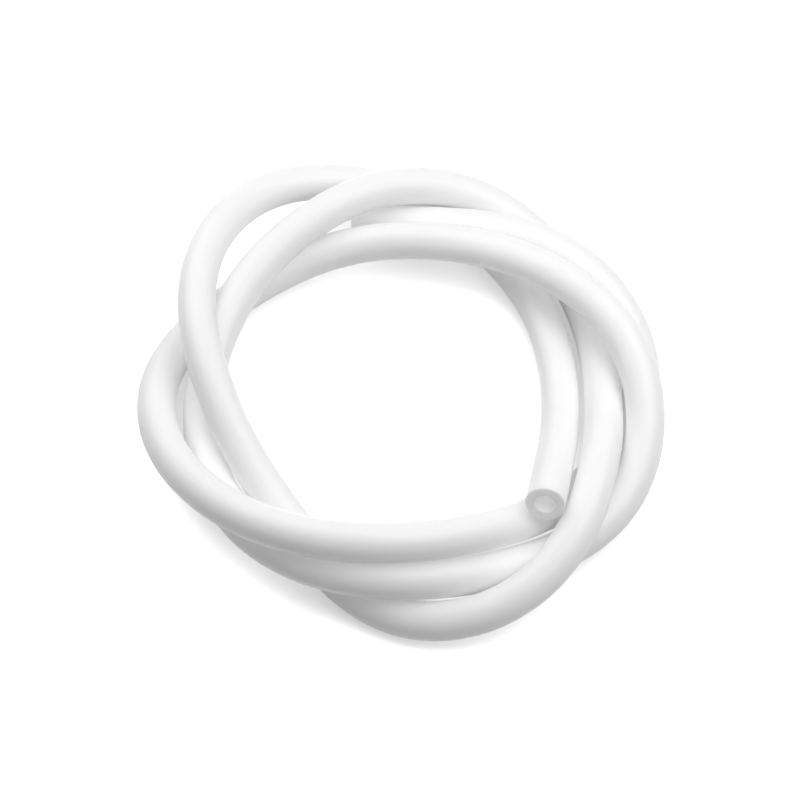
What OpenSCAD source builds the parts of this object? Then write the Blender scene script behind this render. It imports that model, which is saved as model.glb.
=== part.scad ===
// Silicone tubing coil: one cut length of soft round tube, laid down as a loose, interwoven coil.
// Millimetres. The coil lies on the plane z = 0, with the middle of its outline on the Z axis.
// X runs across the coil, Y runs through it from front to back, and +Z is up.

/* [Tube] */
// Outer diameter of the tube
tube_od = 8; // [6:0.1:10]
// Bore of the tube
tube_id = 4; // [2:0.1:5]
// Straight round length at each cut end
end_run = 15; // [10:0.5:20]

/* [Coil] */
// Width across the average turn, from centreline to centreline
coil_w = 89; // [74:1:130]
// Depth through the average turn, from centreline to centreline
coil_d = 97; // [80:1:140]

/* [Fineness] */
// Sides of the swept part of the tube
sides = 14; // [12:2:18]
// Rings of the sweep in each step from one station to the next
rings_per_step = 4; // [2:1:4]

/* [Hidden] */

// The stations that guide the centreline, one every STEP degrees, counter-clockwise from above.
// Each holds how far outside the average turn it is and how high it is, both in tube diameters.
// The centreline passes smoothly by them. A tube that lies on the floor has its centreline at 0.5,
// and one that crosses another lies a diameter higher.
STEP = 30;
FIRST_STATION_ANGLE = -60;
STATIONS = [
    // Front right, where the first end rests on the third turn
    [0.05, 2.8], [-1.15, 1.45],
    // First turn: flat on the floor at the back, over the other turns at the left, out along the front
    [-1.5, 0.7], [-1.25, 0.5], [-0.8, 0.5], [0.25, 0.5], [1.3, 1.3], [0.5, 2.1],
    [-0.7, 2.1], [-1.2, 1.25], [-1.05, 0.7], [0.7, 0.3], [1.3, 1.4], [0.05, 2.1],
    // Second turn: on the floor at the right, over the first at the back, in the middle at the front
    [-0.45, 0.8], [0, 0.25], [0.25, 1.25], [-0.3, 1.95], [-0.9, 1.9], [-0.8, 1.55],
    [-0.45, 0.7], [-0.15, 0.65], [0.15, 1.5], [0, 1.7], [-0.25, 0.55], [1.25, 0.65],
    // Third turn: over all the others at the back right, outermost at the left, innermost in front
    [0.7, 2.2], [-1, 2.25], [-2, 2.05], [-2, 1.55], [-1.3, 0.85], [-0.4, 0.35],
    [1.05, 0.7], [0.55, 1.75], [0, 2.6], [-0.65, 2.5], [-0.85, 1.55], [-0.35, 0.4],
    // Last part: outermost at the right, over the second turn, then down under it to the second end
    [1.15, 0.5], [0.25, 1.85], [-1.1, 1.7], [-1.1, 0.85], [0, 0.5]
];

// Angles at which the curved part starts and stops, going on past 360 from turn to turn
START_ANGLE = -30;
STOP_ANGLE = 1161;

// The sweep runs this far into each straight end, and the two overlap by half of it
LAP = 2;
// The sweep is this much smaller outside, and larger inside, than the true round of the ends
SKIN_STEP = 0.02;
// Length, in stations, over which the direction of the centreline is measured
NUDGE = 0.001;
// Sides of a true circle
ROUND = 96;

SILICONE = [0.96, 0.96, 0.95];

tube_r = tube_od / 2;
bore_r = tube_id / 2;
sweep_r = tube_r - SKIN_STEP;
sweep_bore_r = (bore_r + SKIN_STEP) / cos(180 / sides);
start_station = (START_ANGLE - FIRST_STATION_ANGLE) / STEP;
stop_station = (STOP_ANGLE - FIRST_STATION_ANGLE) / STEP;
ring_steps = ceil((stop_station - start_station) * rings_per_step);

function unit(v) = v / norm(v);
function middle(values) = (min(values) + max(values)) / 2;

// Shares of the four nearest stations, a fraction f of the way from the second to the third
function shares(f) = [pow(1 - f, 3), 3 * pow(f, 3) - 6 * f * f + 4, -3 * pow(f, 3) + 3 * f * f + 3 * f + 1,
    pow(f, 3)] / 6;

// How far out and how high the centreline is at station s, in tube diameters
function guide(s) = let (i = floor(s)) shares(s - i) * [for (k = [-1 : 2]) STATIONS[i + k]];

// Place of the centreline at station s, before the coil is centred and set down
function wound(s) =
    let (
        angle = FIRST_STATION_ANGLE + STEP * s,
        place = guide(s) * tube_od
    )
    [(coil_w / 2 + place[0]) * cos(angle), (coil_d / 2 + place[0]) * sin(angle), place[1]];

function station_of_ring(k) = start_station + (stop_station - start_station) * k / ring_steps;

wound_rings = [for (k = [0 : ring_steps]) wound(station_of_ring(k))];
settle = [
    -middle([for (p = wound_rings) p.x]),
    -middle([for (p = wound_rings) p.y]),
    tube_r - min([for (p = wound_rings) p.z])
];

function centre(s) = wound(s) + settle;
function heading(s) = unit(wound(s + NUDGE) - wound(s));

// Each ring is a centre and a heading: the curved part, with one more ring a lap beyond either end
function beyond(s, way) = [centre(s) + way * LAP * heading(s), heading(s)];
rings = concat(
    [beyond(start_station, -1)],
    [for (k = [0 : ring_steps]) let (s = station_of_ring(k)) [centre(s), heading(s)]],
    [beyond(stop_station, 1)]
);

// The corners of one ring, of radius r, with a corner at its very bottom
function corners(ring, r) =
    let (
        side = unit(cross(ring[1], [0, 0, 1])),
        top = cross(side, ring[1])
    )
    [for (j = [0 : sides - 1]) let (a = 360 * j / sides - 90) ring[0] + r * (cos(a) * side + sin(a) * top)];

// The hollow sweep along the whole centreline, as one closed skin
module sweep() {
    count = len(rings);
    outer = [for (ring = rings) each corners(ring, sweep_r)];
    inner = [for (ring = rings) each corners(ring, sweep_bore_r)];
    wall = count * sides;
    points = concat(outer, inner);
    // Number of corner j of ring k: first of the outer skin, then of the bore
    function out(k, j) = k * sides + j % sides;
    function in(k, j) = wall + out(k, j);
    faces = [
        for (k = [0 : count - 2], j = [0 : sides - 1]) each [
            [out(k, j), out(k + 1, j + 1), out(k + 1, j)],
            [out(k, j), out(k, j + 1), out(k + 1, j + 1)],
            [in(k, j), in(k + 1, j), in(k + 1, j + 1)],
            [in(k, j), in(k + 1, j + 1), in(k, j + 1)]
        ],
        for (j = [0 : sides - 1]) each [
            [out(0, j), in(0, j + 1), out(0, j + 1)],
            [out(0, j), in(0, j), in(0, j + 1)],
            [out(count - 1, j), out(count - 1, j + 1), in(count - 1, j + 1)],
            [out(count - 1, j), in(count - 1, j + 1), in(count - 1, j)]
        ]
    ];
    polyhedron(points = points, faces = faces);
}

// A straight, truly round and truly bored cut end, pointing away from the coil along way
module cut_end(from, way) {
    turn = atan2(way.y, way.x);
    lean = acos(way.z);
    translate(from + way * LAP / 2)
        rotate([0, lean, turn])
            difference() {
                cylinder(h = end_run, r = tube_r, $fn = ROUND);
                translate([0, 0, -1])
                    cylinder(h = end_run + 2, r = bore_r, $fn = ROUND);
            }
}

module tube() {
    color(SILICONE)
        union() {
            sweep();
            cut_end(centre(start_station), -heading(start_station));
            cut_end(centre(stop_station), heading(stop_station));
        }
}

tube();
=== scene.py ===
"""The look of a silicone tubing coil: one cut length of soft, milky tube, lying as a loose, interwoven coil.

Lengths are in metres and angles in degrees. Everything is made in the frame's own axes: the coil lies on
z = 0, with the middle of its outline on the Z axis, +X to the right and +Y from front to back.
"""

from __future__ import annotations

import logging
import math
from dataclasses import dataclass, field
from enum import Enum, IntEnum
from typing import ClassVar

import bpy
import numpy as np
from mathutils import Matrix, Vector

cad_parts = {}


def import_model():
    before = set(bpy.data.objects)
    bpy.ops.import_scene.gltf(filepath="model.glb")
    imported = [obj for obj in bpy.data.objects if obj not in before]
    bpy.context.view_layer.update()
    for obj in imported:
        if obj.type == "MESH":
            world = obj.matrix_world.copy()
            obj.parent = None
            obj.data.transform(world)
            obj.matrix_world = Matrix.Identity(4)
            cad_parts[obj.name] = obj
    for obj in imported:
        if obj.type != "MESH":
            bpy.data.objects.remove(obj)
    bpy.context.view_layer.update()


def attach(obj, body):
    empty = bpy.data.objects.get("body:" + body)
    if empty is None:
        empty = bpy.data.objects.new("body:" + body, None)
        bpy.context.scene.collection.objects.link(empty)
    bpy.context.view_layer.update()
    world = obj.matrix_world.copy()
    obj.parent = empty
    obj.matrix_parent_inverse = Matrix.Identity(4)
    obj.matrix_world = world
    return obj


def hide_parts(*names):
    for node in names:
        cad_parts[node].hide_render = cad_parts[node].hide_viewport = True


LOG = logging.getLogger("tubing_coil")
BODY = "root"
UP = np.array((0.0, 0.0, 1.0))
WHITE = (1.0, 1.0, 1.0, 1.0)

# Silicone's index of refraction
SILICONE_IOR = 1.41
# Light of every colour travels equally far inside it
EVEN_REACH = (1.0, 1.0, 1.0)

# The sockets of a Mix node that mixes colours. Others on it have the same names, so they go by number.
MIX_FACTOR, MIX_A, MIX_B, MIX_RESULT = 0, 6, 7, 2

# The waves that the drawn tube's radius drifts in, each with its rate along the tube and its lag, in radians
DRIFT_WAVES = ((61.0, 0.4), (97.0, 1.9), (163.0, 3.1))

# The stations that guide the centreline, one every 30 degrees, counter-clockwise from above. Each holds
# how far outside the average turn it is and how high it is, both in tube diameters.
STATIONS = (
    # Front right, where the first end rests on the third turn
    (0.05, 2.8), (-1.15, 1.45),
    # First turn: flat on the floor at the back, over the other turns at the left, out along the front
    (-1.5, 0.7), (-1.25, 0.5), (-0.8, 0.5), (0.25, 0.5), (1.3, 1.3), (0.5, 2.1),
    (-0.7, 2.1), (-1.2, 1.25), (-1.05, 0.7), (0.7, 0.3), (1.3, 1.4), (0.05, 2.1),
    # Second turn: on the floor at the right, over the first at the back, in the middle at the front
    (-0.45, 0.8), (0.0, 0.25), (0.25, 1.25), (-0.3, 1.95), (-0.9, 1.9), (-0.8, 1.55),
    (-0.45, 0.7), (-0.15, 0.65), (0.15, 1.5), (0.0, 1.7), (-0.25, 0.55), (1.25, 0.65),
    # Third turn: over all the others at the back right, outermost at the left, innermost in front
    (0.7, 2.2), (-1.0, 2.25), (-2.0, 2.05), (-2.0, 1.55), (-1.3, 0.85), (-0.4, 0.35),
    (1.05, 0.7), (0.55, 1.75), (0.0, 2.6), (-0.65, 2.5), (-0.85, 1.55), (-0.35, 0.4),
    # Last part: outermost at the right, over the second turn, then down under it to the second end
    (1.15, 0.5), (0.25, 1.85), (-1.1, 1.7), (-1.1, 0.85), (0.0, 0.5),
)


class Slot(Enum):
    """The record's material slots."""

    SILICONE = "silicone"


class Zone(IntEnum):
    """The zones of the tube's surface, in the order of its materials."""

    SKIN = 0
    CUT = 1
    BORE = 2


class Attribute(Enum):
    """The named values that the tube's mesh holds for its materials."""

    STRAIGHTENED = "straightened"
    LAYOUT = "OFBake"


@dataclass(frozen=True)
class Centreline:
    """Points down the middle of the tube, evenly spaced, and the directions that go with them.

    Attributes:
        points: One row of x, y and z for each ring.
        ahead: The direction of travel at each ring.
        side: The level direction across the tube at each ring.
        along: The length of tube before each ring.
    """

    points: np.ndarray
    ahead: np.ndarray
    side: np.ndarray
    along: np.ndarray

    @property
    def top(self) -> np.ndarray:
        """The direction at right angles to ahead and side, the nearest to straight up."""
        return np.cross(self.side, self.ahead)

    @property
    def length(self) -> float:
        """The whole length of the tube."""
        return float(self.along[-1])


@dataclass(frozen=True)
class CoilRoute:
    """The route of the tube: some turns guided by stations, with a straight stretch at either end.

    Attributes:
        tube_d: Outer diameter of the tube.
        width: Width across the average turn, from centreline to centreline.
        depth: Depth through the average turn, from centreline to centreline.
        step: Angle from one station to the next.
        first_station: Angle of the first station.
        start: Angle at which the curved part starts.
        stop: Angle at which it stops, going on past 360 from turn to turn.
        straight: Length of the straight stretch at either end.
        stations: Pairs of how far out and how high, in tube diameters.
    """

    tube_d: float = 0.008
    width: float = 0.089
    depth: float = 0.097
    step: float = 30.0
    first_station: float = -60.0
    start: float = -30.0
    stop: float = 1161.0
    straight: float = 0.016
    stations: tuple[tuple[float, float], ...] = STATIONS

    def guide(self, station: np.ndarray) -> np.ndarray:
        """Blends the four nearest stations into a smooth pair of values.

        Args:
            station: Places along the list of stations, in whole and part stations.

        Returns:
            How far out and how high the centreline is at each place, in metres.
        """
        before = np.floor(station).astype(int)
        f = station - before
        # The four shares of a cubic B-spline, in sixths
        shares = (
            (1 - f) ** 3,
            3 * f**3 - 6 * f**2 + 4,
            -3 * f**3 + 3 * f**2 + 3 * f + 1,
            f**3,
        )
        table = np.array(self.stations)
        last = len(table) - 1
        blend = sum(
            share[:, None] * table[np.minimum(before - 1 + k, last)] for k, share in enumerate(shares)
        )
        return blend / 6 * self.tube_d

    def wound(self, degrees: np.ndarray) -> np.ndarray:
        """The curved part at these angles, before it is centred and set down.

        Args:
            degrees: Angles round the coil.

        Returns:
            One row of x, y and z for each angle.
        """
        out, up = self.guide((degrees - self.first_station) / self.step).T
        turned = np.radians(degrees)
        return np.stack(
            ((self.width / 2 + out) * np.cos(turned), (self.depth / 2 + out) * np.sin(turned), up), axis=1
        )

    def centreline(self, pitch: float, fine: int = 12000) -> Centreline:
        """Lays the whole centreline, with its middle on the Z axis and its lowest stretch on the floor.

        Args:
            pitch: Greatest distance from one ring to the next.
            fine: Points of the curve that the even spacing is measured on.

        Returns:
            The centreline, from the first end to the second.
        """
        curve = self.wound(np.linspace(self.start, self.stop, fine))
        middle = (curve.min(axis=0) + curve.max(axis=0)) / 2
        curve -= (middle[0], middle[1], curve[:, 2].min() - self.tube_d / 2)
        first = curve[0] + self.straight * unit(curve[0] - curve[1])
        second = curve[-1] + self.straight * unit(curve[-1] - curve[-2])
        curve = np.vstack((first, curve, second))

        gaps = np.linalg.norm(np.diff(curve, axis=0), axis=1)
        run = np.concatenate(([0.0], np.cumsum(gaps)))
        along = np.linspace(0.0, run[-1], math.ceil(run[-1] / pitch) + 1)
        points = np.stack([np.interp(along, run, curve[:, k]) for k in range(3)], axis=1)
        ahead = unit(np.gradient(points, axis=0))
        return Centreline(points, ahead, unit(np.cross(ahead, UP)), along)


def unit(vectors: np.ndarray) -> np.ndarray:
    """The same directions, each of length one."""
    return vectors / np.linalg.norm(vectors, axis=-1, keepdims=True)


class NodeSheet:
    """A short way to lay and join the nodes of one tree."""

    def __init__(self, tree: bpy.types.NodeTree) -> None:
        """Starts on an empty tree.

        Args:
            tree: The tree to lay the nodes in.
        """
        self.tree = tree
        self.tree.nodes.clear()

    def add(self, kind: str, inputs: dict[str, object] | None = None, **settings: object) -> bpy.types.Node:
        """Adds a node.

        Args:
            kind: The node's class name, without ShaderNode in front.
            inputs: Values or other nodes' outputs, by the name of the socket that takes them.
            settings: Properties of the node itself.

        Returns:
            The new node.
        """
        prefix = "" if kind.startswith("Node") else "ShaderNode"
        node = self.tree.nodes.new(prefix + kind)
        for name, value in settings.items():
            setattr(node, name, value)
        for name, value in (inputs or {}).items():
            self.feed(node, name, value)
        return node

    def feed(self, node: bpy.types.Node, name: str | int, value: object) -> None:
        """Sets one input to a value, or joins an output to it.

        Args:
            node: The node that takes it.
            name: The input, by its name or its number.
            value: The value, or the output of another node.
        """
        if isinstance(value, bpy.types.NodeSocket):
            self.tree.links.new(value, node.inputs[name])
        else:
            node.inputs[name].default_value = value

    def math(self, operation: str, a: object, b: object = 0.0) -> bpy.types.NodeSocket:
        """Adds one sum.

        Args:
            operation: The kind of sum.
            a: Its first value, or an output.
            b: Its second value, or an output.

        Returns:
            The result.
        """
        node = self.add("Math", operation=operation)
        self.feed(node, 0, a)
        self.feed(node, 1, b)
        return node.outputs[0]

    def either(self, factor: object, first: object, second: object) -> bpy.types.NodeSocket:
        """Joins two shaders by a factor.

        Args:
            factor: The factor, as an output.
            first: The shader where the factor is nought.
            second: The shader where it is one.

        Returns:
            The joined shader.
        """
        node = self.add("MixShader", {"Fac": factor})
        self.feed(node, 1, first)
        self.feed(node, 2, second)
        return node.outputs["Shader"]

    def drawn_noise(self, scale: object, stretch: object, detail: float) -> bpy.types.NodeSocket:
        """Adds noise that lies along the tube, however the tube is bent.

        Args:
            scale: Waves to the metre across the tube, as a value or an output.
            stretch: How many times longer the waves are along the tube, as a value or an output.
            detail: Octaves of finer noise within it.

        Returns:
            The noise, from 0 to 1.
        """
        place = self.add("Attribute", attribute_name=Attribute.STRAIGHTENED.value)
        apart = self.add("SeparateXYZ", {"Vector": place.outputs["Vector"]})
        drawn = self.math("DIVIDE", apart.outputs["Z"], stretch)
        vector = self.add("CombineXYZ", {"X": apart.outputs["X"], "Y": apart.outputs["Y"], "Z": drawn})
        noise = self.add("TexNoise", {"Vector": vector.outputs["Vector"], "Scale": scale, "Detail": detail})
        return noise.outputs["Fac"]


class SharedGroup:
    """A shader node group that is made once and used by every finish of the silicone."""

    NAME: ClassVar[str]
    TAKES: ClassVar[dict[str, str]]
    GIVES: ClassVar[dict[str, str]]

    @classmethod
    def group(cls) -> bpy.types.ShaderNodeTree:
        """Makes the group once, and gives the same one after that.

        Returns:
            The group, with its sockets as listed in TAKES and GIVES.
        """
        if cls.NAME in bpy.data.node_groups:
            return bpy.data.node_groups[cls.NAME]
        tree = bpy.data.node_groups.new(cls.NAME, "ShaderNodeTree")
        for way, listed in (("INPUT", cls.TAKES), ("OUTPUT", cls.GIVES)):
            for name, kind in listed.items():
                tree.interface.new_socket(name, in_out=way, socket_type=kind)
        sheet = NodeSheet(tree)
        given = sheet.add("NodeGroupInput")
        sheet.add("NodeGroupOutput", cls.lay(sheet, given.outputs))
        return tree

    @classmethod
    def lay(cls, sheet: NodeSheet, given: bpy.types.NodeOutputs) -> dict[str, bpy.types.NodeSocket]:
        """Lays the nodes of the group.

        Args:
            sheet: The sheet to lay them on.
            given: What the group takes in.

        Returns:
            What the group gives, by name.
        """
        raise NotImplementedError


class MilkyBody(SharedGroup):
    """The tube's faintly uneven, milky body: soft clouds, under fine streaks that the die draws out."""

    NAME = "milky_body"
    TAKES = {
        "Clear": "NodeSocketColor",
        "Cloudy": "NodeSocketColor",
        "Scale": "NodeSocketFloat",
        "Streaks": "NodeSocketFloat",
    }
    GIVES = {"Color": "NodeSocketColor", "Cloud": "NodeSocketFloat"}
    CLOUD_STRETCH = 2.0
    CLOUD_DETAIL = 3.0
    STREAK_SCALE = 620.0
    STREAK_STRETCH = 24.0
    STREAK_DETAIL = 2.0
    CLEAR_UP_TO = 0.36
    CLOUDY_FROM = 0.64

    @classmethod
    def lay(cls, sheet: NodeSheet, given: bpy.types.NodeOutputs) -> dict[str, bpy.types.NodeSocket]:
        """Lays the clouds and the streaks, and mixes the two colours by them.

        Args:
            sheet: The sheet to lay them on.
            given: The two colours, the scale of the clouds and the share of streaks.

        Returns:
            The colour, and how cloudy it is there.
        """
        clouds = sheet.drawn_noise(given["Scale"], cls.CLOUD_STRETCH, cls.CLOUD_DETAIL)
        streaks = sheet.drawn_noise(cls.STREAK_SCALE, cls.STREAK_STRETCH, cls.STREAK_DETAIL)
        both = sheet.add("Mix", {"Factor": given["Streaks"], "A": clouds, "B": streaks})
        cloud = sheet.add(
            "MapRange",
            {"Value": both.outputs["Result"], "From Min": cls.CLEAR_UP_TO, "From Max": cls.CLOUDY_FROM},
        )
        mixed = sheet.add("Mix", data_type="RGBA")
        sheet.feed(mixed, MIX_FACTOR, cloud.outputs["Result"])
        sheet.feed(mixed, MIX_A, given["Clear"])
        sheet.feed(mixed, MIX_B, given["Cloudy"])
        return {"Color": mixed.outputs[MIX_RESULT], "Cloud": cloud.outputs["Result"]}


class FineRelief(SharedGroup):
    """Fine relief: grain, stretched along the tube by as much as each finish asks."""

    NAME = "fine_relief"
    TAKES = {"Scale": "NodeSocketFloat", "Stretch": "NodeSocketFloat"}
    GIVES = {"Height": "NodeSocketFloat"}
    DETAIL = 4.0

    @classmethod
    def lay(cls, sheet: NodeSheet, given: bpy.types.NodeOutputs) -> dict[str, bpy.types.NodeSocket]:
        """Lays the grain.

        Args:
            sheet: The sheet to lay it on.
            given: The scale of the grain and how far it is stretched.

        Returns:
            The height.
        """
        return {"Height": sheet.drawn_noise(given["Scale"], given["Stretch"], cls.DETAIL)}


@dataclass(frozen=True)
class SiliconeFinish:
    """One finish of the silicone, for one zone of the tube.

    Attributes:
        name: The material's name.
        clear: Colour where the body is clearest.
        cloudy: Colour where it is milkiest.
        cloud_scale: Scale of the clouding, in waves to the metre.
        streaks: Share of drawn-out streaks in the clouding.
        smooth: Roughness where the surface is smoothest.
        dull: Roughness where it is dullest.
        grain_scale: Scale of the relief across the tube, in waves to the metre.
        grain_stretch: How many times longer the relief is along the tube.
        grain_height: Height of the relief.
        glow: Share of the light that travels inside the body.
        glow_reach: How far that light travels.
        through: Share of a lamp's light that each face lets through to what lies behind it.
    """

    name: str
    clear: tuple[float, float, float] = (0.91, 0.915, 0.91)
    cloudy: tuple[float, float, float] = (0.985, 0.985, 0.98)
    cloud_scale: float = 110.0
    streaks: float = 0.4
    smooth: float = 0.3
    dull: float = 0.44
    grain_scale: float = 1100.0
    grain_stretch: float = 16.0
    grain_height: float = 0.00003
    glow: float = 0.85
    glow_reach: float = 0.0015
    through: float = 0.66

    def material(self) -> bpy.types.Material:
        """Makes the material.

        Returns:
            A material with its nodes laid.
        """
        made = bpy.data.materials.new(self.name)
        made.use_nodes = True
        sheet = NodeSheet(made.node_tree)
        body = sheet.add("Group", node_tree=MilkyBody.group())
        sheet.feed(body, "Clear", (*self.clear, 1.0))
        sheet.feed(body, "Cloudy", (*self.cloudy, 1.0))
        sheet.feed(body, "Scale", self.cloud_scale)
        sheet.feed(body, "Streaks", self.streaks)
        relief = sheet.add("Group", node_tree=FineRelief.group())
        sheet.feed(relief, "Scale", self.grain_scale)
        sheet.feed(relief, "Stretch", self.grain_stretch)
        bump = sheet.add(
            "Bump", {"Height": relief.outputs["Height"], "Strength": 1.0, "Distance": self.grain_height}
        )
        rough = sheet.add(
            "MapRange", {"Value": body.outputs["Cloud"], "To Min": self.dull, "To Max": self.smooth}
        )
        shader = sheet.add(
            "BsdfPrincipled",
            {
                "Base Color": body.outputs["Color"],
                "Roughness": rough.outputs["Result"],
                "Normal": bump.outputs["Normal"],
                "IOR": SILICONE_IOR,
                "Subsurface Weight": self.glow,
                "Subsurface Radius": EVEN_REACH,
                "Subsurface Scale": self.glow_reach,
            },
        )
        path = sheet.add("LightPath")
        pass_on = sheet.add("BsdfTransparent", {"Color": (self.through, self.through, self.through, 1.0)})
        surface = sheet.either(path.outputs["Is Shadow Ray"], shader.outputs["BSDF"], pass_on.outputs["BSDF"])
        sheet.add("OutputMaterial", {"Surface": surface})
        return made


SKIN_FINISH = SiliconeFinish("silicone_skin")
CUT_FINISH = SiliconeFinish(
    "silicone_cut",
    cloud_scale=500.0,
    streaks=0.0,
    smooth=0.5,
    dull=0.62,
    grain_scale=2200.0,
    grain_stretch=1.0,
    grain_height=0.00005,
)
BORE_FINISH = SiliconeFinish("silicone_bore", smooth=0.45, dull=0.55)


@dataclass(frozen=True)
class Lining:
    """One zone of the tube's surface, as a run of rings from one edge of the zone to the other.

    Attributes:
        zone: The zone that it is.
        at: Number of the centreline point that each ring is centred on.
        radius: Radius of each ring.
        beyond: How far each ring lies ahead of its centreline point.
    """

    zone: Zone
    at: np.ndarray
    radius: np.ndarray
    beyond: np.ndarray


@dataclass(frozen=True)
class FlatLayout:
    """The tube's surface laid out flat on a square.

    It is cut into strips of skin and of bore that lie side by side, and a disc for each cut end.

    Attributes:
        strips: Strips that the length of the tube is cut into.
        gap: Room left between neighbouring strips and discs.
        disc_pitch: From the middle of one disc to the middle of the next, in radii of a disc.
    """

    strips: int = 5
    gap: float = 0.0005
    disc_pitch: float = 2.2

    def corners(self, tube: CutTube, line: Centreline, linings: tuple[Lining, ...]) -> np.ndarray:
        """Places every corner of every face on the square.

        Args:
            tube: The tube whose surface it is.
            line: The centreline of the tube.
            linings: The zones of the surface, in order round the section.

        Returns:
            Two coordinates from 0 to 1 for each of the four corners of each face.
        """
        turn = np.arange(tube.around + 1) / tube.around
        skin_lap, bore_lap = np.pi * tube.route.tube_d, np.pi * tube.bore_d
        lane = skin_lap + bore_lap + 2 * self.gap
        laps = {Zone.SKIN: (0.0, skin_lap), Zone.BORE: (skin_lap + self.gap, bore_lap)}
        radii = self.disc_radii(tube)
        middle = np.array((radii[0], self.strips * lane + radii[0]))
        step = np.array((self.disc_pitch * radii[0], 0.0))

        laid = []
        for lining in linings:
            if lining.zone is not Zone.CUT:
                laid.append(self.strip_faces(line, lining, turn, lane, *laps[lining.zone]))
                continue
            laid.append(self.disc_faces(middle, radii, turn))
            # The other cut end is passed from its bore outward, so its rings come the other way round
            middle, radii = middle + step, radii[::-1]
        side = self.strips * lane + 2 * radii.max() + self.gap
        return np.concatenate(laid).reshape(-1, 2) / side

    @staticmethod
    def disc_radii(tube: CutTube) -> np.ndarray:
        """The radius of each ring of a cut end laid out flat.

        Args:
            tube: The tube whose end it is.

        Returns:
            The radii, from the skin inward.
        """
        cut = tube.end_profile()
        run = np.concatenate(([0.0], np.cumsum(np.linalg.norm(np.diff(cut, axis=0), axis=1))))
        bore_r = tube.bore_d / 2
        reach = bore_r + run[-1] - run + tube.edge_round
        return np.concatenate(([reach[0] + tube.edge_round], reach, [bore_r]))

    def disc_faces(self, middle: np.ndarray, radii: np.ndarray, turn: np.ndarray) -> np.ndarray:
        """Lays a cut end out as a disc.

        Args:
            middle: Middle of the disc.
            radii: Radius of each of its rings.
            turn: Places round the tube, as shares of a turn.

        Returns:
            The four corners of each face.
        """
        round_it = np.stack((np.cos(2 * np.pi * turn), np.sin(2 * np.pi * turn)), axis=1)
        grid = middle + radii[:, None, None] * round_it[None]
        return self.quads(grid[:-1], grid[1:])

    def strip_faces(
        self, line: Centreline, lining: Lining, turn: np.ndarray, lane: float, start: float, lap: float
    ) -> np.ndarray:
        """Lays the skin or the bore out in strips.

        Args:
            line: The centreline of the tube.
            lining: The zone to lay out.
            turn: Places round the tube, as shares of a turn.
            lane: From the start of one strip to the start of the next.
            start: Where the zone starts across its strip.
            lap: Length of the zone round the tube.

        Returns:
            The four corners of each face.
        """
        first, last = lining.at[:-1], lining.at[1:]
        per_strip = math.ceil((len(line.along) - 1) / self.strips)
        strip = np.minimum(first, last) // per_strip
        across = (strip * lane + start)[:, None] + lap * turn[None]
        origin = line.along[strip * per_strip]
        here, there = (
            np.repeat((line.along[k] - origin)[:, None], len(turn), axis=1) for k in (first, last)
        )
        return self.quads(np.stack((here, across), axis=2), np.stack((there, across), axis=2))

    @staticmethod
    def quads(near: np.ndarray, far: np.ndarray) -> np.ndarray:
        """The four corners of each face between the rows of two grids."""
        return np.stack((near[:, :-1], far[:, :-1], far[:, 1:], near[:, 1:]), axis=2)


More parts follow.
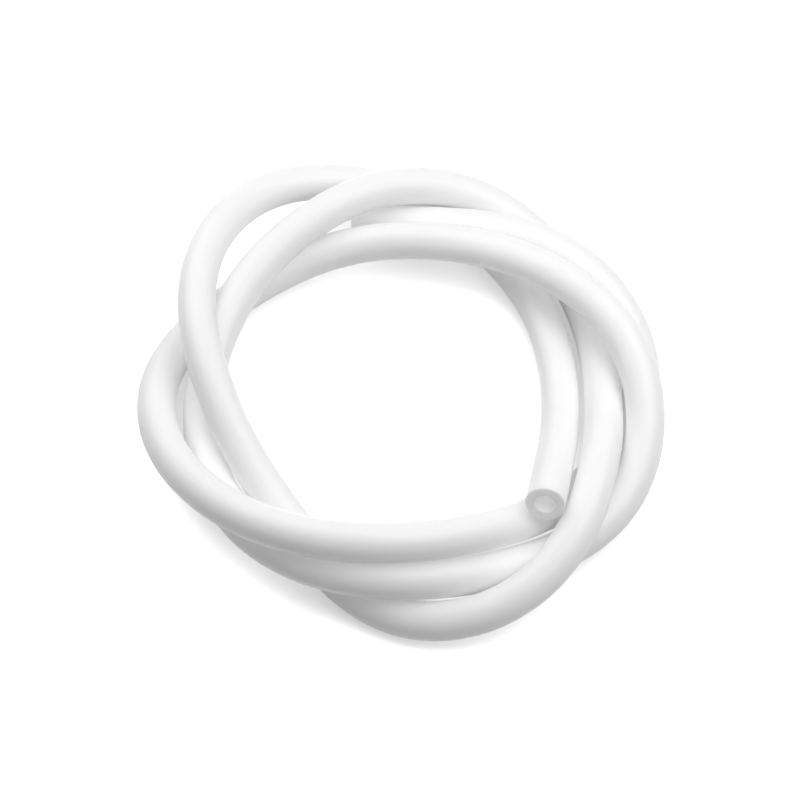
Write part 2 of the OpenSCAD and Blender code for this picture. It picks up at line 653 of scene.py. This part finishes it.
@dataclass
class CutTube:
    """The tube: a hollow round section swept along the route, with clean cut ends.

    The surface is one grid of rings that closes on itself: along the skin, round the second cut end, back
    along the bore, and round the first cut end.

    Attributes:
        name: Name of the piece.
        route: The route that it lies along.
        bore_d: Diameter of its bore.
        around: Corners of each ring.
        pitch: Greatest distance from one ring to the next.
        edge_round: Radius of the soft edges of the cut ends.
        edge_steps: Steps round each soft edge.
        face_steps: Steps across the flat of a cut end.
        drift: How far the drawn tube's radius drifts along its length.
        layout: How its surface is laid out flat for texture maps.
    """

    name: str = "tubing"
    route: CoilRoute = field(default_factory=CoilRoute)
    bore_d: float = 0.004
    around: int = 48
    pitch: float = 0.0014
    edge_round: float = 0.00016
    edge_steps: int = 4
    face_steps: int = 5
    drift: float = 0.00003
    layout: FlatLayout = field(default_factory=FlatLayout)

    def drifted(self, along: np.ndarray) -> np.ndarray:
        """How much wider than its true size the tube is, at these lengths along it.

        Args:
            along: Lengths along the tube.

        Returns:
            What is added to the radius there.
        """
        return self.drift * sum(np.sin(rate * along + lag) for rate, lag in DRIFT_WAVES) / len(DRIFT_WAVES)

    def end_profile(self) -> np.ndarray:
        """The section of a cut end, from just inside the skin's edge round to just outside the bore's.

        Returns:
            Rows of radius and of distance beyond the ends of the skin and the bore.
        """
        e = self.edge_round
        outer, inner = self.route.tube_d / 2, self.bore_d / 2
        turn = np.linspace(0.0, math.pi / 2, self.edge_steps + 1)
        rim = np.stack((outer - e + e * np.cos(turn), e * np.sin(turn)), axis=1)
        lip = np.stack((inner + e - e * np.sin(turn), e * np.cos(turn)), axis=1)
        across = np.linspace(outer - e, inner + e, self.face_steps + 1)[1:-1]
        face = np.stack((across, np.full_like(across, e)), axis=1)
        return np.vstack((rim[1:], face, lip[:-1]))

    def linings(self, line: Centreline) -> tuple[Lining, ...]:
        """The zones of the surface, in order round the tube's own section.

        Args:
            line: The centreline of the tube.

        Returns:
            The skin, the second cut end, the bore and the first cut end. Each shares its edges with the next.
        """
        count = len(line.along)
        every, last, e = np.arange(count), count - 1, self.edge_round
        skin_r = self.route.tube_d / 2 + self.drifted(line.along)
        skin_r[[0, -1]] = self.route.tube_d / 2
        bore_r = np.full(count, self.bore_d / 2)
        inset = np.zeros(count)
        inset[[0, -1]] = e, -e
        radius, beyond = self.end_profile().T
        caps = np.zeros(len(radius), dtype=int)
        return (
            Lining(Zone.SKIN, every, skin_r, inset),
            Lining(Zone.CUT, caps + last, radius, beyond - e),
            Lining(Zone.BORE, every[::-1], bore_r, inset[::-1]),
            Lining(Zone.CUT, caps, radius[::-1], e - beyond[::-1]),
        )

    def build(self) -> tuple[bpy.types.Object, Centreline]:
        """Makes the tube's mesh.

        Returns:
            The tube, with no materials yet, and the centreline that it follows.
        """
        line = self.route.centreline(self.pitch)
        linings = self.linings(line)
        at = np.concatenate([lining.at for lining in linings])
        radius = np.concatenate([lining.radius for lining in linings])
        beyond = np.concatenate([lining.beyond for lining in linings])
        corner = 2 * np.pi * np.arange(self.around) / self.around - np.pi / 2
        cosine, sine = np.cos(corner)[None, :], np.sin(corner)[None, :]

        centre = line.points[at] + beyond[:, None] * line.ahead[at]
        across = cosine[:, :, None] * line.side[at][:, None] + sine[:, :, None] * line.top[at][:, None]
        points = centre[:, None] + radius[:, None, None] * across
        reach = np.repeat((line.along[at] + beyond)[:, None], self.around, axis=1)
        straight = np.stack((radius[:, None] * cosine, radius[:, None] * sine, reach), axis=2)

        rings = len(at)
        onward = (np.arange(rings) + 1) % rings
        here = np.arange(self.around)[None]
        there = (here + 1) % self.around
        near, far = np.arange(rings)[:, None] * self.around, onward[:, None] * self.around
        faces = np.stack((near + here, far + here, far + there, near + there), axis=2).reshape(-1, 4)

        mesh = bpy.data.meshes.new(self.name)
        mesh.from_pydata(points.reshape(-1, 3).tolist(), [], faces.tolist())
        zones = self.zones_of_faces(linings)
        mesh.polygons.foreach_set("material_index", np.repeat(zones, self.around))
        mesh.polygons.foreach_set("use_smooth", np.ones(len(faces), dtype=bool))
        held = mesh.attributes.new(Attribute.STRAIGHTENED.value, "FLOAT_VECTOR", "POINT")
        held.data.foreach_set("vector", straight.astype(np.float32).ravel())
        flat = mesh.uv_layers.new(name=Attribute.LAYOUT.value)
        flat.uv.foreach_set("vector", self.layout.corners(self, line, linings).astype(np.float32).ravel())
        mesh.update()
        piece = bpy.data.objects.new(self.name, mesh)
        bpy.context.scene.collection.objects.link(piece)
        return piece, line

    @staticmethod
    def zones_of_faces(linings: tuple[Lining, ...]) -> np.ndarray:
        """The zone of the faces that start at each ring: a face that touches a cut end belongs to it.

        Args:
            linings: The zones of the surface, in order round the section.

        Returns:
            The number of the zone's material, for each ring.
        """
        zone = np.concatenate([np.full(len(lining.at), int(lining.zone)) for lining in linings])
        return np.where(np.roll(zone, -1) == Zone.CUT, Zone.CUT, zone)

    def dress(self, piece: bpy.types.Object) -> None:
        """Gives each zone of the tube its finish."""
        for finish in (SKIN_FINISH, CUT_FINISH, BORE_FINISH):
            piece.data.materials.append(finish.material())

    def declare(self, piece: bpy.types.Object) -> None:
        """Hangs the tube on the body that it rides on, and hides the CAD part that it stands for.

        Args:
            piece: The finished tube.
        """
        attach(piece, BODY)
        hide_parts("tube")


@dataclass(frozen=True)
class Softbox:
    """A square area lamp that faces the coil.

    Attributes:
        name: Name of the lamp.
        azimuth: Where it stands, counter-clockwise from +X.
        elevation: How high it stands.
        distance: How far it is from the coil.
        size: Length of its side.
        power: Its power, in watts.
    """

    name: str
    azimuth: float
    elevation: float
    distance: float
    size: float
    power: float

    def build(self) -> bpy.types.Object:
        """Makes the lamp.

        Returns:
            The lamp, turned to face the coil.
        """
        lamp = bpy.data.lights.new(self.name, "AREA")
        lamp.shape, lamp.size, lamp.energy = "SQUARE", self.size, self.power
        made = bpy.data.objects.new(self.name, lamp)
        a, e = math.radians(self.azimuth), math.radians(self.elevation)
        toward = Vector((math.cos(a) * math.cos(e), math.sin(a) * math.cos(e), math.sin(e)))
        made.location = toward * self.distance
        made.rotation_euler = toward.to_track_quat("Z", "Y").to_euler()
        made.visible_camera = False
        bpy.context.scene.collection.objects.link(made)
        return made


@dataclass
class Studio:
    """The camera, the floor, the lamps and the surround.

    Attributes:
        elevation: How steeply the camera looks down.
        distance: From the camera to the place that it looks at.
        lens: Focal length of the lens, in millimetres.
        sensor: Width of the sensor, in millimetres.
        clip: Nearest and farthest that the camera sees.
        target: The place on the floor that the camera looks at.
        floor_size: Length of the floor's side.
        floor_grey: Grey of the floor in the light that it throws back on the coil.
        floor_seen: Its grey where it is seen.
        lift_least: What it adds where it is seen close under the coil, where the coil shuts it in; adding
            less there paints contact shade on the floor.
        lift_most: What it adds where it is seen in the open, so that it is white away from the shadows.
        contact: How near the coil must be to shut the floor in.
        shut_in: How open the floor is where it adds the least.
        in_the_open: How open it is where it adds the most.
        shadow_reach: How far from the middle of the coil shadows keep their full depth.
        shadow_end: How far away the floor is plain white.
        fill: Strength of the surround as a light.
        lamps: The lamps.
    """

    elevation: float = 58.0
    distance: float = 0.526
    lens: float = 112.0
    sensor: float = 36.0
    clip: tuple[float, float] = (0.01, 20.0)
    target: tuple[float, float, float] = (0.0, 0.0017, 0.0)
    floor_size: float = 6.0
    floor_grey: float = 0.6
    floor_seen: float = 1.0
    lift_least: float = 0.3
    lift_most: float = 0.75
    contact: float = 0.015
    shut_in: float = 0.4
    in_the_open: float = 0.7
    shadow_reach: float = 0.12
    shadow_end: float = 0.25
    fill: float = 0.267
    lamps: tuple[Softbox, ...] = (
        Softbox("softbox_key", azimuth=0.0, elevation=60.0, distance=0.28, size=0.22, power=0.415),
        Softbox("softbox_back_high", azimuth=135.0, elevation=60.0, distance=0.28, size=0.22, power=0.224),
        Softbox("softbox_back_low", azimuth=135.0, elevation=30.0, distance=0.28, size=0.22, power=0.136),
    )

    def camera(self) -> bpy.types.Object:
        """Makes the camera and gives it to the scene.

        Returns:
            The camera.
        """
        data = bpy.data.cameras.new("camera")
        data.lens, data.sensor_width = self.lens, self.sensor
        data.clip_start, data.clip_end = self.clip
        made = bpy.data.objects.new("camera", data)
        e = math.radians(self.elevation)
        back = Vector((0.0, -math.cos(e), math.sin(e)))
        made.location = Vector(self.target) + back * self.distance
        made.rotation_euler = back.to_track_quat("Z", "Y").to_euler()
        bpy.context.scene.collection.objects.link(made)
        bpy.context.scene.camera = made
        return made

    @staticmethod
    def seen_directly(sheet: NodeSheet) -> bpy.types.NodeSocket:
        """Tells the light that shows a surface to the eye from the light that it throws on other things.

        Args:
            sheet: The sheet to lay the nodes on.

        Returns:
            One where it is seen by the camera, in a reflection or through glass, and else nought.
        """
        path = sheet.add("LightPath")
        seen = sheet.math("ADD", path.outputs["Is Camera Ray"], path.outputs["Is Glossy Ray"])
        return sheet.math("MINIMUM", sheet.math("ADD", seen, path.outputs["Is Transmission Ray"]), 1.0)

    def floor(self) -> bpy.types.Object:
        """Makes the pale floor, which keeps the coil's shadow, with painted contact shade where the coil
        shuts it in.

        Returns:
            The floor.
        """
        half = self.floor_size / 2
        mesh = bpy.data.meshes.new("floor")
        corners = [(-half, -half, 0.0), (half, -half, 0.0), (half, half, 0.0), (-half, half, 0.0)]
        mesh.from_pydata(corners, [], [(0, 1, 2, 3)])
        material = bpy.data.materials.new("floor")
        material.use_nodes = True
        sheet = NodeSheet(material.node_tree)
        seen = self.seen_directly(sheet)
        grey = sheet.add("MapRange", {"Value": seen, "To Min": self.floor_grey, "To Max": self.floor_seen})
        matt = sheet.add("BsdfDiffuse")
        sheet.feed(matt, "Color", grey.outputs["Result"])
        # Painted contact shade: the floor's glow is lowered where the coil shuts it in, so it is darker close
        # under and between the strands than the real shadow alone makes it
        painted_shade_openness = sheet.add("AmbientOcclusion", {"Distance": self.contact})
        near = sheet.add(
            "MapRange",
            {
                "Value": painted_shade_openness.outputs["AO"],
                "From Min": self.shut_in,
                "From Max": self.in_the_open,
                "To Min": self.lift_least,
                "To Max": self.lift_most,
            },
            interpolation_type="SMOOTHSTEP",
        )
        place = sheet.add("NewGeometry")
        away = sheet.add("VectorMath", {"Vector": place.outputs["Position"]}, operation="LENGTH")
        lift = sheet.add(
            "MapRange",
            {
                "Value": away.outputs["Value"],
                "From Min": self.shadow_reach,
                "From Max": self.shadow_end,
                "To Min": near.outputs["Result"],
            },
            interpolation_type="SMOOTHSTEP",
        )
        strength = sheet.math("MULTIPLY", seen, lift.outputs["Result"])
        pale = sheet.add("Emission", {"Color": WHITE, "Strength": strength})
        both = sheet.add("AddShader")
        sheet.feed(both, 0, matt.outputs["BSDF"])
        sheet.feed(both, 1, pale.outputs["Emission"])
        sheet.add("OutputMaterial", {"Surface": both.outputs["Shader"]})
        mesh.materials.append(material)
        made = bpy.data.objects.new("floor", mesh)
        bpy.context.scene.collection.objects.link(made)
        return made

    def surround(self) -> None:
        """Makes the world: a soft white fill, and plain white where it is seen."""
        world = bpy.data.worlds.new("surround")
        bpy.context.scene.world = world
        world.use_nodes = True
        sheet = NodeSheet(world.node_tree)
        lit = sheet.add("Background", {"Color": WHITE, "Strength": self.fill})
        seen = sheet.add("Background", {"Color": WHITE, "Strength": 1.0})
        seen_or_lit = sheet.either(
            self.seen_directly(sheet), lit.outputs["Background"], seen.outputs["Background"]
        )
        sheet.add("OutputWorld", {"Surface": seen_or_lit})

    def light(self) -> None:
        """Sets up the surround, the lamps and how the picture is shown."""
        self.surround()
        for lamp in self.lamps:
            lamp.build()
        bpy.context.scene.view_settings.view_transform = "Standard"


def main() -> None:
    """Builds the camera, the tube and the studio, and reports each of them."""
    logging.basicConfig(level=logging.INFO, format="%(name)s: %(message)s")
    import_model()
    studio = Studio()
    studio.camera()
    tube = CutTube()
    piece, line = tube.build()
    tube.dress(piece)
    tube.declare(piece)
    LOG.info("tube: %.3f m of it, %d faces", line.length, len(piece.data.polygons))
    studio.floor()
    studio.light()
    LOG.info("studio: floor, surround and %d lamps", len(studio.lamps))


if __name__ == "__main__":
    main()
